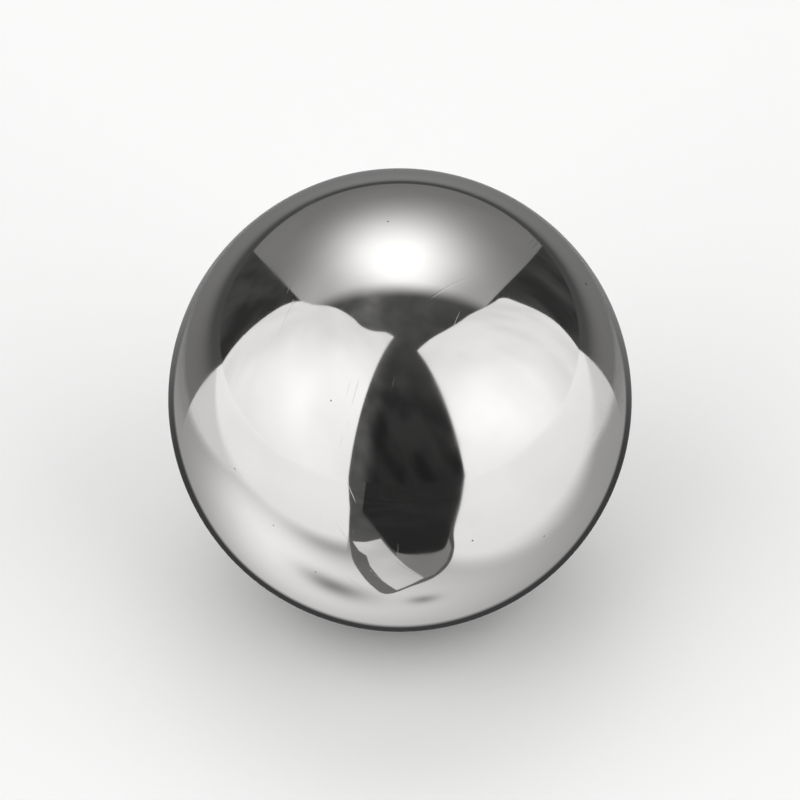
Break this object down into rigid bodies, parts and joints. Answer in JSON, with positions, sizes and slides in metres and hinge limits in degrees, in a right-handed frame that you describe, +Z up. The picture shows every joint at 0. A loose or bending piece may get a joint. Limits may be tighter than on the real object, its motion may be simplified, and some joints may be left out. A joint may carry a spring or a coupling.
{
  "type": "steel ball",
  "caption": "Solid steel ball lapped to a bright mirror finish, round and plain all over, with no hole, flat or seam.",
  "frame": {"origin": "centre of the ball", "axes": "+Z up, away from the seat under the ball; the ball is the same about every axis through its centre"},
  "size_m": [0.012, 0.012, 0.012],
  "materials": {
    "polished_steel": "polished"
  },
  "bodies": {
    "root": {"ball": "polished_steel"}
  },
  "joints": []
}
